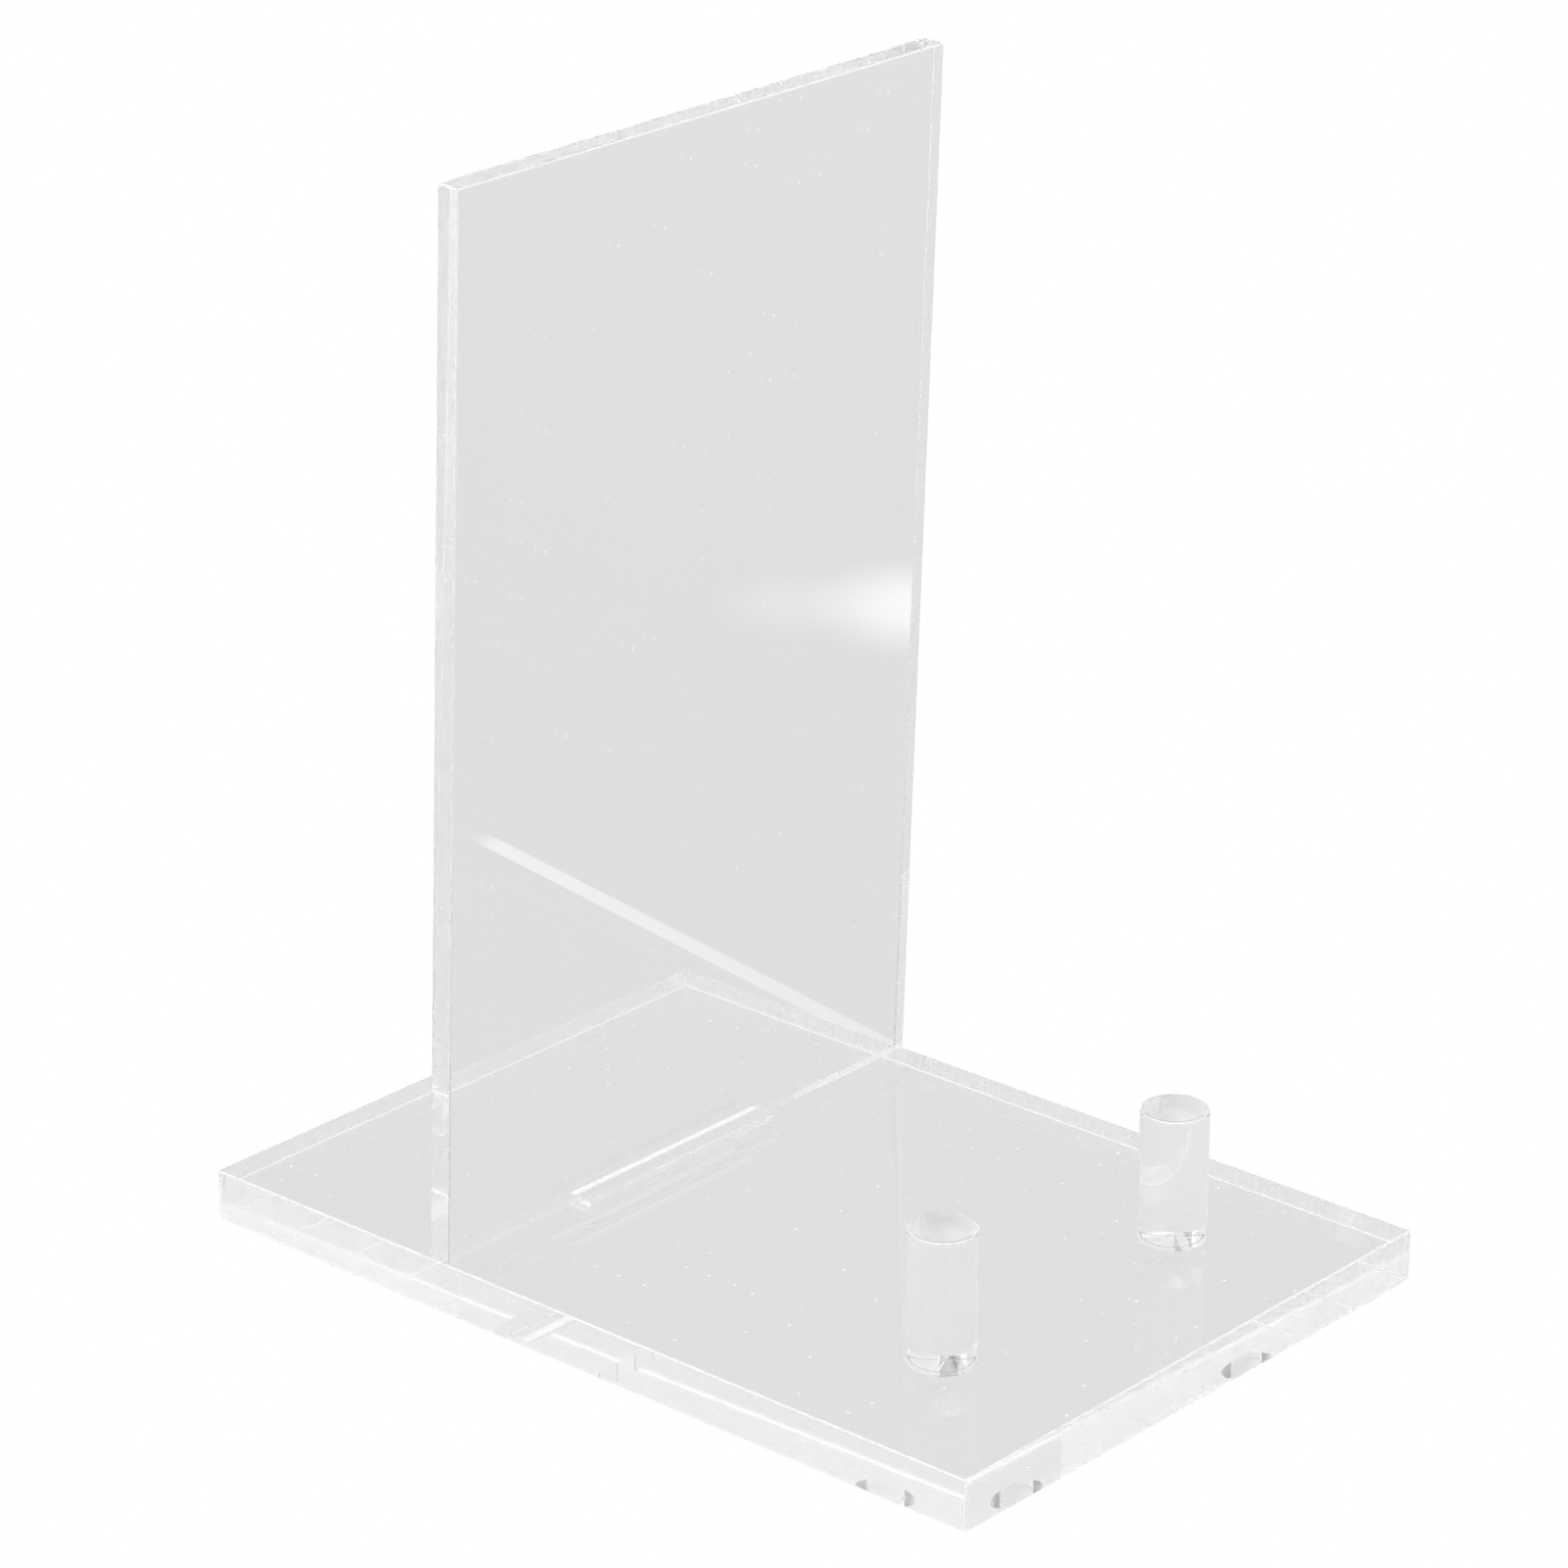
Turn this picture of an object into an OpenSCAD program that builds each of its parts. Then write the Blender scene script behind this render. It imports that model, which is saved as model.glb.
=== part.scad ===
// Free-standing guard for a counter, bonded from clear acrylic stock.
//
// A thick base plate lies flat on the counter. An upright panel stands across it, with a short
// strip bonded along its foot, and two short round posts stand near the plate's front edge.
// What the guard holds or shields stands on the plate, between the posts and the panel.
//
// Millimetres. +Z is up, +X is right and -Y is the front, where the posts are. The origin is the
// centre of the plate's underside.

/* [Base plate] */
// Width of the plate, left to right
plate_w = 150; // [120:1:220]
// Depth of the plate, front to back
plate_d = 215; // [170:1:300]
// Thickness of the plate
plate_t = 12; // [6:0.5:20]
// Width of the flat that breaks each edge of the plate, measured along the faces
plate_edge = 0.3; // [0.2:0.1:1.5]

/* [Upright panel] */
// Height of the panel, measured up its front face
panel_h = 240; // [120:1:400]
// Thickness of the panel
panel_t = 5.6; // [3:0.1:10]
// How far the panel stands in from each side of the plate
panel_side_inset = 0.3; // [0:0.1:10]
// Distance from the plate's back edge to the back of the panel's foot
panel_back_inset = 65.4; // [20:0.2:80]
// Lean of the panel towards the posts, in degrees from upright
panel_lean = 2.25; // [0:0.25:8]
// Width of the flat that breaks each free edge of the panel
panel_edge = 0.3; // [0.2:0.1:1]

/* [Foot strip] */
// Length of the strip bonded along the panel's foot
strip_l = 60; // [20:1:70]
// Depth of the strip, out from the panel
strip_d = 6; // [3:0.5:7.5]
// Height of the strip
strip_h = 3.5; // [2:0.5:8]
// Distance from the plate's left side to the strip's left end
strip_side_inset = 38; // [5:1:45]
// Width of the flat that breaks the strip's free long edge
strip_edge = 0.3; // [0.2:0.1:0.8]

/* [Posts] */
// Diameter of each post
post_d = 15; // [6:0.5:25]
// Height of each post above the plate
post_h = 30.5; // [10:0.5:80]
// Distance from the plate's left or right side to the middle of the nearer post
post_side_inset = 36.5; // [13:0.5:45]
// Distance from the plate's front edge to the middle of each post
post_front_inset = 37; // [13:0.5:50]
// Width of the flat that breaks the rim of each post's top
post_rim = 0.6; // [0.2:0.1:2]

/* [Hidden] */

$fn = 96;

// The panel lines up with the plate's sides and stands on its top
panel_w = plate_w - 2 * panel_side_inset;
// A leaning sheet is a little deeper where the plate's top cuts it level
panel_foot_d = panel_t / cos(panel_lean);
// Front of the panel where it meets the plate
panel_front_y = plate_d / 2 - panel_back_inset - panel_foot_d;
// How much longer the sheet is at its back, before its foot is cut level
panel_foot_cut = panel_t * tan(panel_lean) + panel_edge;

// Left end of the foot strip, and how far the panel leans over the strip's height
strip_left_x = -plate_w / 2 + strip_side_inset;
strip_top_lean = strip_h * tan(panel_lean);

// Middles of the posts
post_x = plate_w / 2 - post_side_inset;
post_y = -plate_d / 2 + post_front_inset;

// Colours of clear acrylic: the thick plate looks greyest, and the thin strip palest
PLATE_COLOUR = [0.84, 0.88, 0.89, 0.55];
PANEL_COLOUR = [0.88, 0.91, 0.92, 0.40];
STRIP_COLOUR = [0.93, 0.95, 0.96, 0.60];
POST_COLOUR = [0.86, 0.90, 0.91, 0.55];

// Rectangle centred on the origin, with its corners cut at 45 degrees
module broken_rectangle(w, h, cut) {
    polygon([
        [-w / 2 + cut, -h / 2],
        [w / 2 - cut, -h / 2],
        [w / 2, -h / 2 + cut],
        [w / 2, h / 2 - cut],
        [w / 2 - cut, h / 2],
        [-w / 2 + cut, h / 2],
        [-w / 2, h / 2 - cut],
        [-w / 2, -h / 2 + cut]
    ]);
}

// Block standing on z = 0 and centred in x and y, with the same flat on every edge
module broken_block(w, d, h, cut) {
    intersection() {
        linear_extrude(h)
            broken_rectangle(w, d, cut);
        translate([0, d / 2, h / 2])
            rotate([90, 0, 0])
                linear_extrude(d)
                    broken_rectangle(w, h, cut);
        translate([-w / 2, 0, h / 2])
            rotate([90, 0, 90])
                linear_extrude(w)
                    broken_rectangle(d, h, cut);
    }
}

// Room above the plate's top that holds the whole panel
module room_above_plate() {
    room_h = panel_h + panel_t;
    translate([-plate_w / 2, -plate_d / 2, plate_t])
        cube([plate_w, plate_d, room_h]);
}

// Thick flat plate that the guard stands on
module base_plate() {
    color(PLATE_COLOUR)
        broken_block(plate_w, plate_d, plate_t, plate_edge);
}

// Sheet that leans slightly over the bay, with its foot cut level to sit on the plate
module upright_panel() {
    color(PANEL_COLOUR)
        intersection() {
            translate([0, panel_front_y, plate_t])
                rotate([panel_lean, 0, 0])
                    translate([0, panel_t / 2, -panel_foot_cut])
                        broken_block(panel_w, panel_t, panel_h + panel_foot_cut, panel_edge);
            room_above_plate();
        }
}

// Short strip along the panel's foot, whose back follows the panel's lean
module foot_strip() {
    color(STRIP_COLOUR)
        translate([strip_left_x, panel_front_y, plate_t])
            rotate([90, 0, 90])
                linear_extrude(strip_l)
                    polygon([
                        [-strip_d, 0],
                        [0, 0],
                        [-strip_top_lean, strip_h],
                        [-strip_d + strip_edge, strip_h],
                        [-strip_d, strip_h - strip_edge]
                    ]);
}

// Round post standing on the plate, on the given side: -1 is left and 1 is right
module post(side) {
    r = post_d / 2;
    color(POST_COLOUR)
        translate([side * post_x, post_y, plate_t])
            rotate_extrude()
                polygon([
                    [0, 0],
                    [r, 0],
                    [r, post_h - post_rim],
                    [r - post_rim, post_h],
                    [0, post_h]
                ]);
}

module left_post() {
    post(-1);
}

module right_post() {
    post(1);
}

base_plate();
upright_panel();
foot_strip();
left_post();
right_post();
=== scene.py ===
import math

import bmesh
import bpy
from mathutils import Matrix, Vector


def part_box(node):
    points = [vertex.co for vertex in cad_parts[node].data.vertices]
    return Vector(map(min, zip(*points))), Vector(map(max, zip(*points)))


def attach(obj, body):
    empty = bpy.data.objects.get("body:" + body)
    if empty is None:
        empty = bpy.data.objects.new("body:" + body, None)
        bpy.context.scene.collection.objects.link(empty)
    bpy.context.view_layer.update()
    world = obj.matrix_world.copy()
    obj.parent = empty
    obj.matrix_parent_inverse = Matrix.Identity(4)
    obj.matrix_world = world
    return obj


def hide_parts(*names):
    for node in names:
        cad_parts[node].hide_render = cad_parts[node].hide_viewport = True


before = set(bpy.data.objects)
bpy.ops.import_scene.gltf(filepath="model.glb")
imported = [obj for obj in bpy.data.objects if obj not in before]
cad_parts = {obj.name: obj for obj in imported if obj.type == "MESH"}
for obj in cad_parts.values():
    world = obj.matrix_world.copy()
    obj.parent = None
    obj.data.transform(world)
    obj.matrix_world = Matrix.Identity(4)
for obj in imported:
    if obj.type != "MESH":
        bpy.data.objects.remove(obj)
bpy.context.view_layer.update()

MM = 0.001

# ---- Sizes and places, in metres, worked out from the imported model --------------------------

PLATE_LO, PLATE_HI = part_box("base_plate")
PANEL_LO, PANEL_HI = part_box("upright_panel")
STRIP_LO, STRIP_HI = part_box("foot_strip")
DECK = PLATE_HI.z                       # height of the plate's top, which everything stands on

EDGE = 0.3 * MM                         # how far each rounded edge reaches into its faces
RIM_POST = 0.6 * MM                     # the same, for the rim of each post's top
ROUNDING = 3                            # facets across each rounded edge
POST_SIDES = 384                        # facets round each post and its patch on the plate
CEMENT = 0.01 * MM                      # thickness of the cement film in each joint
PATCH_INSET = 0.05 * MM                 # keeps the panel's patch off the plate's rounded sides


def panel_planes():
    """Unit normal of the CAD panel's front, its thickness, and how far along the normal it lies."""
    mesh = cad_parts["upright_panel"].data
    normal = max(mesh.polygons, key=lambda face: face.area).normal.copy()
    if normal.y > 0:
        normal = -normal
    depths = [vertex.co.dot(normal) for vertex in mesh.vertices]
    return normal, max(depths) - min(depths), max(depths)


FRONT_NORMAL, PANEL_T, FRONT_DEPTH = panel_planes()
LEAN = math.asin(-FRONT_NORMAL.z)       # from upright, towards the posts
UP_PANEL = Vector((0, -math.sin(LEAN), math.cos(LEAN)))
# The front face is where position . normal = depth, so it meets the deck at this y
PANEL_FRONT_Y = (FRONT_DEPTH - DECK * FRONT_NORMAL.z) / FRONT_NORMAL.y
PANEL_FOOT_D = PANEL_T / math.cos(LEAN)
# Length up the front face: the panel is highest where its top meets its rounded back edge
PANEL_RISE = (PANEL_HI.z - DECK - (PANEL_T - EDGE) * math.sin(LEAN)) / math.cos(LEAN)


def post_middle(node):
    """Middle of a post's box, and the post's radius."""
    lo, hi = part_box(node)
    return (lo + hi) / 2, (hi.x - lo.x) / 2


# ---- Node trees ------------------------------------------------------------------------------

class Nodes:
    """The node tree of a material or a world, with short ways to add and join nodes."""

    def __init__(self, owner):
        owner.use_nodes = True
        self.owner = owner
        self.tree = owner.node_tree
        self.tree.nodes.clear()

    def feed(self, socket, value):
        """Sets an input to a number or a colour, or links another node's output to it."""
        if isinstance(value, bpy.types.NodeSocket):
            self.tree.links.new(value, socket)
        else:
            socket.default_value = value

    def add(self, kind, settings=None, **inputs):
        node = self.tree.nodes.new(kind)
        for key, value in (settings or {}).items():
            setattr(node, key, value)
        for key, value in inputs.items():
            self.feed(node.inputs[key.replace("_", " ")], value)
        return node

    def maths(self, operation, first, second=0.0, clamp=False):
        node = self.add("ShaderNodeMath", {"operation": operation, "use_clamp": clamp})
        self.feed(node.inputs[0], first)
        self.feed(node.inputs[1], second)
        return node.outputs[0]

    def along(self, vector, direction):
        """How far a vector reaches in a fixed direction."""
        node = self.add("ShaderNodeVectorMath", {"operation": "DOT_PRODUCT"})
        self.feed(node.inputs[0], vector)
        self.feed(node.inputs[1], direction)
        return node.outputs["Value"]

    def band(self, value, low, high, out_low=0.0, out_high=1.0, interpolation="LINEAR"):
        """Goes from out_low to out_high as the value goes from low to high, and stays level beyond."""
        node = self.add("ShaderNodeMapRange", {"clamp": True, "interpolation_type": interpolation})
        for key, number in (("Value", value), ("From Min", low), ("From Max", high),
                            ("To Min", out_low), ("To Max", out_high)):
            self.feed(node.inputs[key], number)
        return node.outputs[0]

    def between(self, share, first, second):
        return self.add("ShaderNodeMix", Factor=share, A=first, B=second).outputs["Result"]

    def place(self, scale=1.0, turn=(0, 0, 0)):
        """Position on the object, in pattern cells: scale is how many there are to a metre."""
        scales = scale if isinstance(scale, tuple) else (scale, scale, scale)
        where = self.add("ShaderNodeTexCoord").outputs["Object"]
        return self.add("ShaderNodeMapping", Vector=where, Scale=scales, Rotation=turn).outputs[0]

    def noise(self, scale, detail, roughness=0.5):
        """Smooth noise about 0.5, which seldom goes below 0.3 or above 0.7."""
        node = self.add(
            "ShaderNodeTexNoise",
            Vector=self.place(scale), Scale=1.0, Detail=detail, Roughness=roughness,
        )
        return node.outputs["Fac"]

    def blend(self, share, first, second):
        """Mixes two shaders."""
        node = self.add("ShaderNodeMixShader", Fac=share)
        self.feed(node.inputs[1], first.outputs[0])
        self.feed(node.inputs[2], second.outputs[0])
        return node

    def finish(self, shader, output="ShaderNodeOutputMaterial"):
        self.add(output, Surface=shader.outputs[0])
        return self.owner


# ---- Materials: all clear acrylic, told apart by how each face was cut and polished ----------

ACRYLIC_IOR = 1.49
CLEAR = (0.9996, 0.9997, 1.0, 1.0)      # tint at each bounce, a breath of blue
MATT_WHITE = (0.97, 0.975, 0.98, 1.0)   # haze and scrapes, seen from outside
LIT_WHITE = (1.0, 1.0, 1.0, 1.0)        # the same, with the light coming through

CLOUDS = 22                             # patches of haze on a polished face, to a metre
EDGE_PATCHES = 60                       # patches of haze on a sawn edge
PATCHINESS = 0.03                       # how far those patches change its haze
CEMENT_CLOUDS = 260                     # patches of haze in a joint
GRIT = 900                              # grains on a scraped arris
ARRIS_GLOSS = 0.3                       # roughness of the acrylic between them

DUST_CELL = 7.0 * MM                    # one speck of dust at most in each cell of this size
DUST_LEAST, DUST_MOST = 0.02, 0.05      # radius of a speck, as a share of its cell

RING_REACH = 0.58                       # radius of the cement's ring, as a share of the post's
RING_HALF = 0.2 * MM                    # half the width of that ring


def coat_of_haze(nodes, clear, share):
    """Clear acrylic under a matt film that is lit from outside, whichever side it is seen from."""
    outside = nodes.add("ShaderNodeBsdfDiffuse", Color=MATT_WHITE)
    inside = nodes.add("ShaderNodeBsdfTranslucent", Color=LIT_WHITE)
    seen_from_inside = nodes.add("ShaderNodeNewGeometry").outputs["Backfacing"]
    film = nodes.blend(seen_from_inside, outside, inside)
    return nodes.blend(share, clear, film)


def acrylic(nodes, roughness=0.0):
    return nodes.add(
        "ShaderNodeBsdfPrincipled",
        Base_Color=CLEAR, IOR=ACRYLIC_IOR, Transmission_Weight=1.0, Roughness=roughness,
    )


def dust_specks(nodes, share, turn):
    """1 on small round specks of dust, in the given share of a grid's cells, else 0."""
    cells = nodes.add(
        "ShaderNodeTexVoronoi", {"voronoi_dimensions": "2D"},
        Vector=nodes.place(1.0 / DUST_CELL, turn), Scale=1.0, Randomness=1.0,
    )
    pick = nodes.add("ShaderNodeSeparateColor", Color=cells.outputs["Color"])
    reach = nodes.band(pick.outputs["Green"], 0.0, 1.0, DUST_LEAST, DUST_MOST)
    speck = nodes.maths("LESS_THAN", cells.outputs["Distance"], reach)
    chosen = nodes.maths("LESS_THAN", pick.outputs["Red"], share)
    return nodes.maths("MULTIPLY", speck, chosen)


def clear_face(name, haze, dust=0.0, dust_turn=(0, 0, 0)):
    """Polished face: a breath of uneven haze, and specks of dust in a share of the grid's cells."""
    nodes = Nodes(bpy.data.materials.new(name))
    share = nodes.band(nodes.noise(CLOUDS, detail=3.0), 0.35, 0.7, 0.4 * haze, haze)
    if dust:
        share = nodes.maths("ADD", share, dust_specks(nodes, dust, dust_turn), clamp=True)
    return nodes.finish(coat_of_haze(nodes, acrylic(nodes), share))


def cut_edge(name, haze, stripes, scale):
    """Sawn edge, only part polished: its haze is patchy, and striped to the given scale."""
    nodes = Nodes(bpy.data.materials.new(name))
    striped = nodes.band(nodes.noise(scale, detail=4.0, roughness=0.65), 0.35, 0.65, -stripes, stripes)
    patchy = nodes.band(nodes.noise(EDGE_PATCHES, detail=2.0), 0.3, 0.7, -PATCHINESS, PATCHINESS)
    share = nodes.maths("ADD", nodes.maths("ADD", striped, patchy), haze, clamp=True)
    return nodes.finish(coat_of_haze(nodes, acrylic(nodes), share))


def ring_round_posts(nodes):
    """1 on the thin rings where the cement stopped spreading under the posts, else 0."""
    middle, radius = post_middle("right_post")
    split = nodes.add("ShaderNodeSeparateXYZ", Vector=nodes.place())
    across = nodes.maths("SUBTRACT", nodes.maths("ABSOLUTE", split.outputs["X"]), middle.x)
    along = nodes.maths("SUBTRACT", split.outputs["Y"], middle.y)
    across_squared = nodes.maths("MULTIPLY", across, across)
    along_squared = nodes.maths("MULTIPLY", along, along)
    reach = nodes.maths("SQRT", nodes.maths("ADD", across_squared, along_squared))
    off_ring = nodes.maths("ABSOLUTE", nodes.maths("SUBTRACT", reach, RING_REACH * radius))
    return nodes.maths("LESS_THAN", off_ring, RING_HALF)


def cement_bond(name, haze, ring=False):
    """Cemented joint: the two pieces are one body of clear acrylic there, with a faint haze."""
    nodes = Nodes(bpy.data.materials.new(name))
    share = nodes.band(nodes.noise(CEMENT_CLOUDS, detail=3.0), 0.45, 0.75, 0.5 * haze, haze)
    if ring:
        share = nodes.maths("ADD", share, ring_round_posts(nodes), clamp=True)
    clear = nodes.add("ShaderNodeBsdfTransparent", Color=LIT_WHITE)
    milky = nodes.add("ShaderNodeBsdfTranslucent", Color=LIT_WHITE)
    return nodes.finish(nodes.blend(share, clear, milky))


def scraped_arris(name):
    """The narrow scraped flat along an edge: white and matt, with a gritty gloss between."""
    nodes = Nodes(bpy.data.materials.new(name))
    share = nodes.band(nodes.noise(GRIT, detail=2.0), 0.35, 0.65, 0.6, 0.8)
    return nodes.finish(coat_of_haze(nodes, acrylic(nodes, roughness=ARRIS_GLOSS), share))


UPRIGHT = (-0.5 * math.pi, 0, 0)        # turns the grid of dust to lie on an upright face

ARRIS = scraped_arris("scraped_arris")
PLATE_FACE = clear_face("plate_acrylic", haze=0.015, dust=0.30)
PANEL_FACE = clear_face("panel_acrylic", haze=0.015, dust=0.20, dust_turn=UPRIGHT)
STRIP_FACE = clear_face("strip_acrylic", haze=0.14)
ROD_TOP = clear_face("rod_top", haze=0.12)
ROD_FACE = cut_edge("rod_acrylic", haze=0.22, stripes=0.03, scale=(130, 130, 6))
PLATE_LEFT = cut_edge("plate_left_edge", haze=0.20, stripes=0.02, scale=(90, 90, 400))
PLATE_FRONT = cut_edge("plate_front_edge", haze=0.03, stripes=0.02, scale=(90, 90, 400))
PLATE_RIGHT = cut_edge("plate_right_edge", haze=0.16, stripes=0.05, scale=(600, 600, 30))
PLATE_BACK = cut_edge("plate_back_edge", haze=0.18, stripes=0.01, scale=(60, 60, 60))
PANEL_SIDE = cut_edge("panel_side_edge", haze=0.05, stripes=0.01, scale=(200, 200, 60))
BOND = cement_bond("cement_bond", haze=0.02)
POST_BOND = cement_bond("post_cement_bond", haze=0.02, ring=True)


# ---- Meshes ----------------------------------------------------------------------------------

# Places in each piece's list of materials: from the last one on they differ from piece to piece
FACE, JOINT, SCRAPED, OTHER = 0, 1, 2, 3

# Ways that the flat sides of a piece face, and how nearly a face has to face that way
OUTWARD = {
    "left": Vector((-1, 0, 0)),
    "front": Vector((0, -1, 0)),
    "right": Vector((1, 0, 0)),
    "back": Vector((0, 1, 0)),
}
SAME_WAY = 0.9999


def piece_from(bm, name, materials):
    """Turns a bmesh into an object of the scene, with its materials."""
    bmesh.ops.recalc_face_normals(bm, faces=bm.faces)
    mesh = bpy.data.meshes.new(name)
    bm.to_mesh(mesh)
    bm.free()
    for material in materials:
        mesh.materials.append(material)
    piece = bpy.data.objects.new(name, mesh)
    bpy.context.scene.collection.objects.link(piece)
    return piece


def box_into(bm, lo, hi):
    """Adds a box between two corners."""
    place = Matrix.Translation((lo + hi) / 2) @ Matrix.Diagonal((*(hi - lo), 1))
    bmesh.ops.create_cube(bm, size=1.0, matrix=place)


def bar_into(bm, profile, left, right):
    """Adds a bar along X with the given profile, and returns its long sides and its corners."""
    starts = [bm.verts.new(Vector((left, point.y, point.z))) for point in profile]
    ends = [bm.verts.new(Vector((right, point.y, point.z))) for point in profile]
    bm.faces.new(starts)
    bm.faces.new(ends[::-1])
    sides = []
    for here in range(len(profile)):
        after = (here + 1) % len(profile)
        sides.append(bm.faces.new([starts[after], starts[here], ends[here], ends[after]]))
    return sides, starts, ends


def round_edges(bm, edges):
    rounded = bmesh.ops.bevel(
        bm, geom=edges, offset=EDGE, offset_type="OFFSET", segments=ROUNDING,
        profile=0.5, affect="EDGES", clamp_overlap=True,
    )
    for face in rounded["faces"]:
        face.smooth = True
        face.material_index = SCRAPED


def quarter_turn():
    """Angles of the corners across one rounded edge, from 0 to 90 degrees."""
    return [0.5 * math.pi * step / ROUNDING for step in range(ROUNDING + 1)]


def circle(middle, radius, height):
    """Points of a level circle, which a post's foot and the plate's patch share."""
    turns = [2 * math.pi * side / POST_SIDES for side in range(POST_SIDES)]
    return [
        Vector((middle.x + radius * math.cos(turn), middle.y + radius * math.sin(turn), height))
        for turn in turns
    ]


def panel_foot():
    """Outline of the panel's foot on the deck, and the two points where the strip's ends meet it."""
    front = PANEL_FRONT_Y
    back = PANEL_FRONT_Y + PANEL_FOOT_D
    left = PANEL_LO.x + PATCH_INSET
    right = PANEL_HI.x - PATCH_INSET
    corners = (
        (right - EDGE, front + EDGE, -0.5 * math.pi),
        (right - EDGE, back - EDGE, 0.0),
        (left + EDGE, back - EDGE, 0.5 * math.pi),
        (left + EDGE, front + EDGE, math.pi),
    )
    outline = [
        Vector((x + EDGE * math.cos(start + turn), y + EDGE * math.sin(start + turn), DECK))
        for x, y, start in corners
        for turn in quarter_turn()
    ]
    strip_ends = [Vector((x, front, DECK)) for x in (STRIP_LO.x, STRIP_HI.x)]
    return outline, strip_ends


def name_sides(bm, **places):
    """Gives the flat faces on the named sides their own places in the piece's list of materials."""
    bmesh.ops.recalc_face_normals(bm, faces=bm.faces)
    for face in bm.faces:
        for side, place in places.items():
            if face.material_index == FACE and face.normal.dot(OUTWARD[side]) > SAME_WAY:
                face.material_index = place


def base_plate():
    """The plate, with a patch in its top under each piece that is cemented to it."""
    bm = bmesh.new()
    box_into(bm, PLATE_LO, PLATE_HI)
    round_edges(bm, list(bm.edges))
    top = max(bm.faces, key=lambda face: (round(face.calc_center_median().z, 6), face.calc_area()))
    rim = list(top.edges)
    bmesh.ops.delete(bm, geom=[top], context="FACES_ONLY")

    patches = [
        bm.faces.new([bm.verts.new(point) for point in circle(*post_middle(node), DECK)])
        for node in ("left_post", "right_post")
    ]
    # The panel's patch and the strip's share the edge between the strip's two ends
    outline, strip_ends = panel_foot()
    shared = [bm.verts.new(point) for point in strip_ends]
    patches.append(bm.faces.new([bm.verts.new(point) for point in outline] + shared))
    strip_front = [bm.verts.new(Vector((x, STRIP_LO.y, DECK))) for x in (STRIP_LO.x, STRIP_HI.x)]
    patches.append(bm.faces.new(shared[::-1] + strip_front))

    borders = [edge for patch in patches for edge in patch.edges if len(edge.link_faces) == 1]
    bmesh.ops.triangle_fill(bm, use_beauty=True, edges=rim + borders)
    for patch in patches:
        patch.material_index = JOINT
    name_sides(bm, left=OTHER, front=OTHER + 1, right=OTHER + 2, back=OTHER + 3)
    materials = [PLATE_FACE, BOND, ARRIS, PLATE_LEFT, PLATE_FRONT, PLATE_RIGHT, PLATE_BACK]
    return piece_from(bm, "base_plate_clear", materials)


def patch_for_strip(bm, foot):
    """Cuts the patch where the strip is cemented on out of the panel's front face."""
    front = max(bm.faces, key=lambda face: (face.normal.dot(FRONT_NORMAL) > SAME_WAY) * face.calc_area())
    edge = next(edge for edge in front.edges if edge in foot.edges)
    left, right = sorted(edge.verts, key=lambda vertex: vertex.co.x)
    share = (STRIP_LO.x - left.co.x) / (right.co.x - left.co.x)
    start = bmesh.utils.edge_split(edge, left, share)[1]
    rest = next(edge for edge in start.link_edges if right in edge.verts)
    share = (STRIP_HI.x - start.co.x) / (right.co.x - start.co.x)
    end = bmesh.utils.edge_split(rest, start, share)[1]
    rise = UP_PANEL * ((STRIP_HI.z - DECK) / UP_PANEL.z)
    split = bmesh.utils.face_split(front, start, end, coords=[start.co + rise, end.co + rise])
    patch = min((front, split[0]), key=lambda face: face.calc_area())
    patch.material_index = JOINT


def upright_panel():
    """The leaning sheet: rounded edges, a level foot, and a patch where the strip is cemented on."""
    bm = bmesh.new()
    front_foot = Vector((0, PANEL_FRONT_Y, DECK))
    back_foot = front_foot + Vector((0, PANEL_FOOT_D, 0))
    front_top = front_foot + UP_PANEL * PANEL_RISE
    back_top = front_top - FRONT_NORMAL * PANEL_T
    bar_into(bm, [front_foot, back_foot, back_top, front_top], PANEL_LO.x, PANEL_HI.x)
    free = [edge for edge in bm.edges if any(vertex.co.z > DECK + MM for vertex in edge.verts)]
    round_edges(bm, free)
    for vertex in bm.verts:
        vertex.co.z = max(vertex.co.z, DECK + CEMENT)
    foot = min(bm.faces, key=lambda face: max(vertex.co.z for vertex in face.verts))
    foot.material_index = JOINT
    patch_for_strip(bm, foot)
    name_sides(bm, left=OTHER, right=OTHER)
    top = max(bm.faces, key=lambda face: face.normal.z)
    top.material_index = OTHER
    return piece_from(bm, "upright_panel_clear", [PANEL_FACE, BOND, ARRIS, PANEL_SIDE])


def foot_strip():
    """The strip: its underside is cemented to the plate and its back to the panel."""
    bm = bmesh.new()
    back = PANEL_FRONT_Y - CEMENT
    lean_back = (STRIP_HI.z - DECK) * math.tan(LEAN)
    profile = [
        Vector((0, STRIP_LO.y, DECK + CEMENT)),
        Vector((0, back, DECK + CEMENT)),
        Vector((0, back - lean_back, STRIP_HI.z)),
        Vector((0, STRIP_LO.y, STRIP_HI.z)),
    ]
    sides, starts, ends = bar_into(bm, profile, STRIP_LO.x, STRIP_HI.x)
    underside, back_face = sides[0], sides[1]
    underside.material_index = JOINT
    back_face.material_index = JOINT
    round_edges(bm, [bm.edges.get((starts[3], ends[3]))])
    return piece_from(bm, "foot_strip_clear", [STRIP_FACE, BOND, ARRIS])


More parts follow.
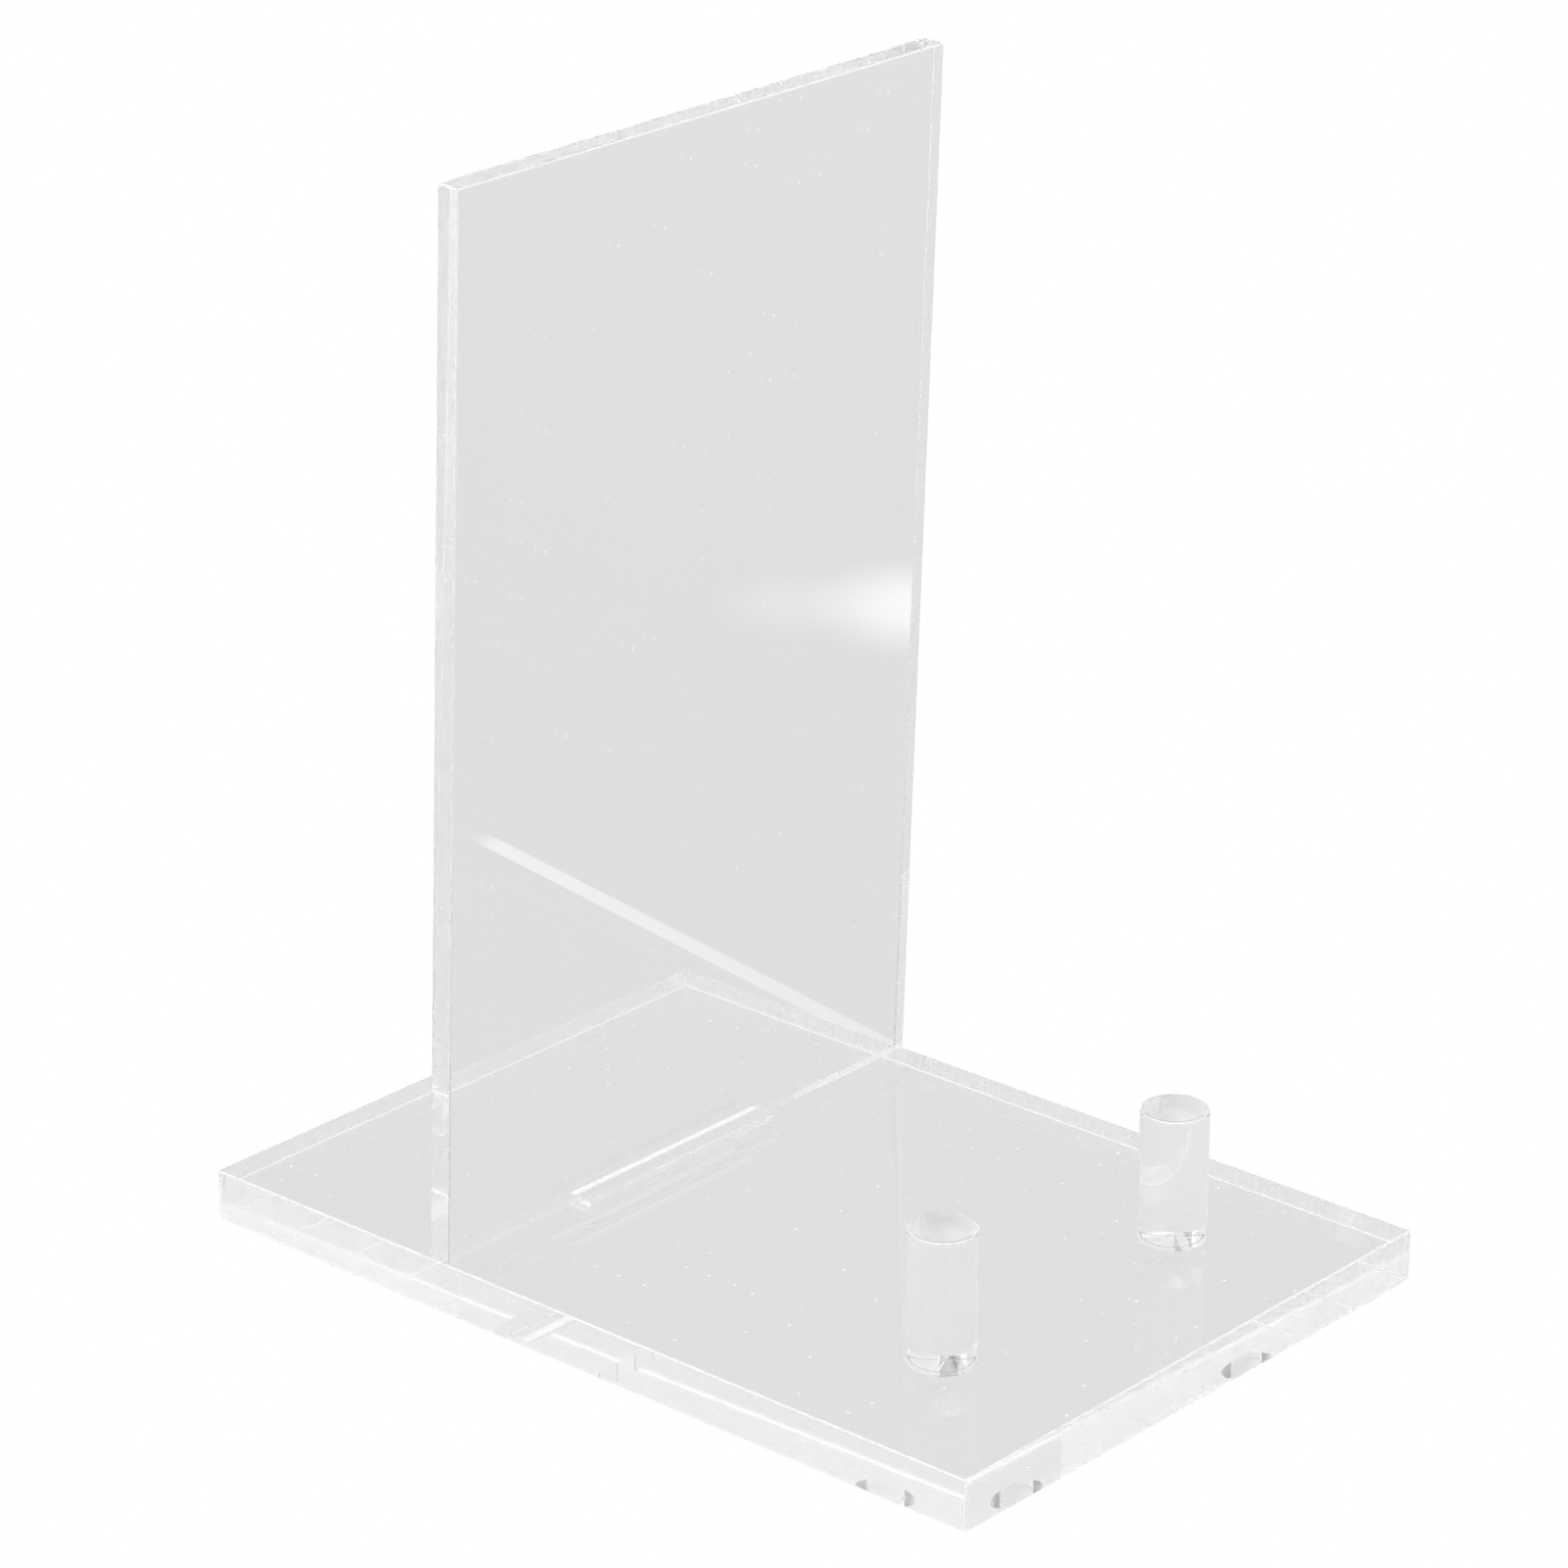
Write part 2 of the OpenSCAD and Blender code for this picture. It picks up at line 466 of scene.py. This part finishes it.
def post(node):
    """A round post with a softened rim, cemented to the plate by its flat foot."""
    lo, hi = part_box(node)
    middle, radius = post_middle(node)
    profile = [(radius, lo.z + CEMENT)]
    profile += [
        (radius - RIM_POST + RIM_POST * math.cos(turn), hi.z - RIM_POST + RIM_POST * math.sin(turn))
        for turn in quarter_turn()
    ]
    bm = bmesh.new()
    rings = [
        [bm.verts.new(point) for point in circle(middle, reach, height)]
        for reach, height in profile
    ]
    # Only the middle of the rounded rim looks scraped: it runs into the wall below and the top above
    looks = [FACE, FACE] + [SCRAPED] * (ROUNDING - 2) + [OTHER]
    for look, lower, upper in zip(looks, rings, rings[1:]):
        for here in range(POST_SIDES):
            after = (here + 1) % POST_SIDES
            face = bm.faces.new([lower[here], lower[after], upper[after], upper[here]])
            face.material_index = look
    bm.faces.new(rings[-1]).material_index = OTHER
    bm.faces.new(rings[0][::-1]).material_index = JOINT
    return piece_from(bm, node + "_clear", [ROD_FACE, POST_BOND, ARRIS, ROD_TOP])


def place_piece(piece, node):
    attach(piece, "root")
    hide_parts(node)


place_piece(base_plate(), "base_plate")
place_piece(upright_panel(), "upright_panel")
place_piece(foot_strip(), "foot_strip")
place_piece(post("left_post"), "left_post")
place_piece(post("right_post"), "right_post")


# ---- Stage: floor, light and camera ----------------------------------------------------------

PLAIN_WHITE = 1.0                       # what the camera sees of the floor and the backdrop

FLOOR_REACH = 8.0                       # radius of the floor
AIR_GAP = 0.15 * MM                     # film of air between the plate and the floor
FLOOR_GREY = 0.732                      # tone of the floor through and in the acrylic
FLOOR_PAINTED_LIT = 0.95                       # the same, far out at the front right, where light falling on the floor is painted into its tone
PALE_WAY = (0.75, -0.66, 0.0)           # towards the front right
PALE_FROM, PALE_TO = 0.25, 1.0          # how far out that way the painted light turns the floor pale

# A narrow streak of light on the floor, past the panel's right foot
STREAK_X = 83.2 * MM                    # where its middle line would cross y = 0
STREAK_SLOPE = 0.178                    # how far it runs to the right for each step back
STREAK_EDGE = (2.4 * MM, 3.2 * MM)      # half its width: where it starts to fade, and where it ends
STREAK_START = (45 * MM, 60 * MM)       # the same at its near end, in y
STREAK_END = (216 * MM, 224 * MM)       # and at its far end
STREAK_GLOW = (0.11, 0.17)              # its strength at the near and the far end

# Soft oval pools of light on the floor behind the panel, the longest way across the view
POOL_TURN = math.radians(131)
POOLS = (                               # middle, reach and strength of each
    ((0.327, 0.249), (0.036, 0.046), 0.25),
    ((0.305, 0.278), (0.024, 0.032), 0.06),
)

# Light spilt on the floor right round the plate, out of its edges
SPILL_GLOW = 0.4
SPILL_EDGE = (0.5 * MM, 2.0 * MM)       # how far out it starts to fade, and where it ends

SKY_BACK, SKY_SIDE, SKY_TOP = 0.95, 1.05, 1.7   # soft light: behind, beside and overhead
BACK_WAY = (0.75, 0.66, 0.0)            # towards the backdrop
BACK_BAND = (0.3, 0.85)                 # from the sides round to the back, as a cosine
TOP_BAND = (0.45, 0.95)                 # from the sides up to overhead, as a sine

# Two soft lights far off: the way to each, its soft edge as two cosines, and its strength
WINDOW = (Vector((-1.0, -0.1, 0.45)), (0.84, 0.96), 1.5)    # broad, at the left
LAMP = (Vector((0.93, -0.33, 0.12)), (0.95, 0.985), 3.3)    # low at the right, on the sawn edges

LENS = 137.77                           # millimetres, on a 36 mm wide frame
CAMERA_AT = (-0.8887, -0.7786, 0.5857)
CAMERA_TURN = (math.radians(68.065), 0.0, math.radians(-48.523))
LIGHT_BOUNCES = 600                     # light goes round inside the clear plate many times


def plain_to_camera(nodes, value):
    """Plain white where the camera looks straight at it, and the given value for all other light."""
    return nodes.between(nodes.add("ShaderNodeLightPath").outputs["Is Camera Ray"], value, PLAIN_WHITE)


def light_streak(nodes, x, y):
    """The streak: its width and length as fades from 1 to 0, times its strength along it."""
    middle = nodes.maths("ADD", nodes.maths("MULTIPLY", y, STREAK_SLOPE), STREAK_X)
    off = nodes.maths("ABSOLUTE", nodes.maths("SUBTRACT", x, middle))
    width = nodes.band(off, *STREAK_EDGE, 1.0, 0.0)
    length = nodes.maths("MULTIPLY", nodes.band(y, *STREAK_START), nodes.band(y, *STREAK_END, 1.0, 0.0))
    glow = nodes.band(y, STREAK_START[1], STREAK_END[0], *STREAK_GLOW)
    return nodes.maths("MULTIPLY", nodes.maths("MULTIPLY", width, length), glow)


def light_pool(nodes, where, middle, reach, strength):
    """A pool of light that is dark at its oval rim and brightest near its middle."""
    oval = nodes.add(
        "ShaderNodeMapping", {"vector_type": "TEXTURE"},
        Vector=where, Location=(*middle, 0.0), Rotation=(0.0, 0.0, POOL_TURN), Scale=(*reach, 1.0),
    )
    off = nodes.add("ShaderNodeVectorMath", {"operation": "LENGTH"}, Vector=oval.outputs[0])
    soft = nodes.band(off.outputs["Value"], 1.0, 0.1, interpolation="SMOOTHSTEP")
    return nodes.maths("MULTIPLY", soft, strength)


def spilt_light(nodes, x, y):
    """Light in a narrow band right round the plate, from under its rounded edges outwards."""
    past_side = nodes.maths("SUBTRACT", nodes.maths("ABSOLUTE", x), PLATE_HI.x)
    past_end = nodes.maths("SUBTRACT", nodes.maths("ABSOLUTE", y), PLATE_HI.y)
    outside = nodes.maths("MAXIMUM", past_side, past_end)
    starts = nodes.band(outside, -EDGE, 0.0)
    fades = nodes.band(outside, *SPILL_EDGE, SPILL_GLOW, 0.0)
    return nodes.maths("MULTIPLY", starts, fades)


def studio_floor():
    nodes = Nodes(bpy.data.materials.new("studio_floor"))
    where = nodes.add("ShaderNodeTexCoord").outputs["Object"]
    split = nodes.add("ShaderNodeSeparateXYZ", Vector=where)
    x, y = split.outputs["X"], split.outputs["Y"]
    # Painted light: the floor's tone turns paler far out at the front right, as if lit there
    tone = nodes.band(nodes.along(where, PALE_WAY), PALE_FROM, PALE_TO, FLOOR_GREY, FLOOR_PAINTED_LIT)
    lights = [light_streak(nodes, x, y), spilt_light(nodes, x, y)]
    lights += [light_pool(nodes, where, *pool) for pool in POOLS]
    for light in lights:
        tone = nodes.maths("ADD", tone, light)
    paper = nodes.finish(nodes.add("ShaderNodeEmission", Strength=plain_to_camera(nodes, tone)))
    bm = bmesh.new()
    bmesh.ops.create_circle(bm, cap_ends=True, segments=64, radius=FLOOR_REACH)
    floor = piece_from(bm, "studio_floor", [paper])
    floor.location.z = -AIR_GAP


def studio_light():
    nodes = Nodes(bpy.data.worlds.new("studio_light"))
    where = nodes.add("ShaderNodeTexCoord").outputs["Generated"]
    height = nodes.add("ShaderNodeSeparateXYZ", Vector=where).outputs["Z"]
    low_sky = nodes.band(nodes.along(where, BACK_WAY), *BACK_BAND, SKY_SIDE, SKY_BACK)
    sky = nodes.between(nodes.band(height, *TOP_BAND), low_sky, SKY_TOP)
    for way, soft_edge, strength in (WINDOW, LAMP):
        light = nodes.band(nodes.along(where, way.normalized()), *soft_edge, 0.0, strength)
        sky = nodes.maths("ADD", sky, light)
    back = nodes.add("ShaderNodeBackground", Strength=plain_to_camera(nodes, sky))
    bpy.context.scene.world = nodes.finish(back, output="ShaderNodeOutputWorld")


def studio_camera():
    data = bpy.data.cameras.new("camera")
    data.lens = LENS
    data.sensor_width = 36.0
    data.clip_start = 0.01
    camera = bpy.data.objects.new("camera", data)
    camera.location = CAMERA_AT
    camera.rotation_euler = CAMERA_TURN
    bpy.context.scene.collection.objects.link(camera)
    bpy.context.scene.camera = camera


studio_floor()
studio_light()
studio_camera()

scene = bpy.context.scene
scene.view_settings.view_transform = "Standard"
scene.cycles.max_bounces = LIGHT_BOUNCES
scene.cycles.transmission_bounces = LIGHT_BOUNCES
scene.cycles.glossy_bounces = LIGHT_BOUNCES
scene.cycles.transparent_max_bounces = LIGHT_BOUNCES
scene.cycles.use_denoising = True
